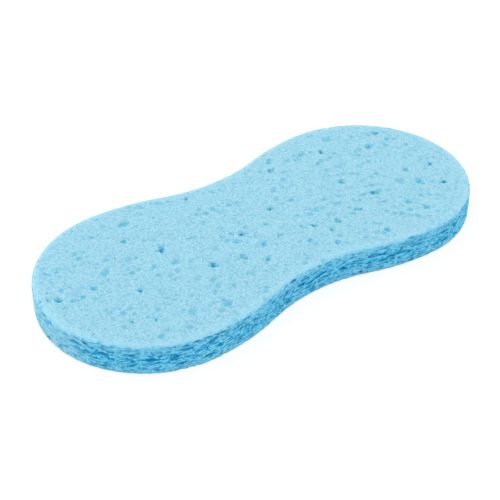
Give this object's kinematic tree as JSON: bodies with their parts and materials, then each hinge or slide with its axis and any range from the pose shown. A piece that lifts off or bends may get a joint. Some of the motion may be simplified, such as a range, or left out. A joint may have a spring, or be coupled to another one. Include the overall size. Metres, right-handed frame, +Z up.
{
  "type": "sponge",
  "caption": "Flat cleaning sponge of porous cellulose with round lobes, a narrower grip between them, rounded rims and open pores.",
  "frame": {"origin": "middle of the underside, on the surface that the sponge lies on", "axes": "+X along the length from lobe to lobe, +Y across the grip, +Z up through the thickness"},
  "size_m": [0.22, 0.1, 0.015],
  "materials": {
    "cellulose": "matte"
  },
  "bodies": {
    "root": {"sponge": "cellulose"}
  },
  "joints": []
}
